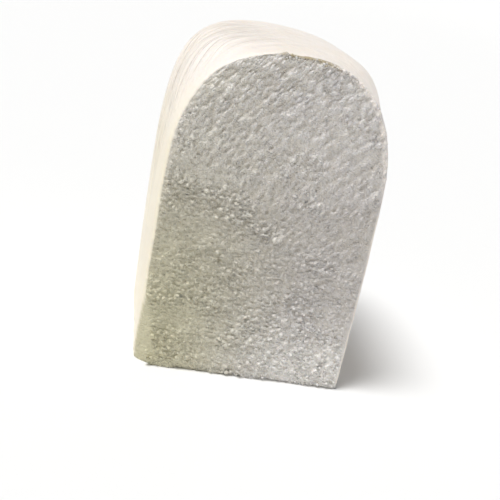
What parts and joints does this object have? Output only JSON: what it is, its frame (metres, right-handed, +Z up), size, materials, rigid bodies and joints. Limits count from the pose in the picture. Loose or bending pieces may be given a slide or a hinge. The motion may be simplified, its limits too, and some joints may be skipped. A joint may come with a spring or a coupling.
{
  "type": "piece of paneer",
  "caption": "Thick upright piece cut from a cloth-pressed block of paneer, with an arched crumbly cut face and rounded smooth skin.",
  "frame": {"origin": "on the ground, below the middle of the piece's bounding box", "axes": "+Z up from the lower cut to the crown of the arch, -Y out of the tall cut face, X across the block's thickness"},
  "size_m": [0.0936, 0.1366, 0.1399],
  "materials": {
    "paneer": "milk-white pressed curd: smooth dull skin outside, crumbly where it is cut"
  },
  "bodies": {
    "root": {"paneer": "paneer"}
  },
  "joints": []
}
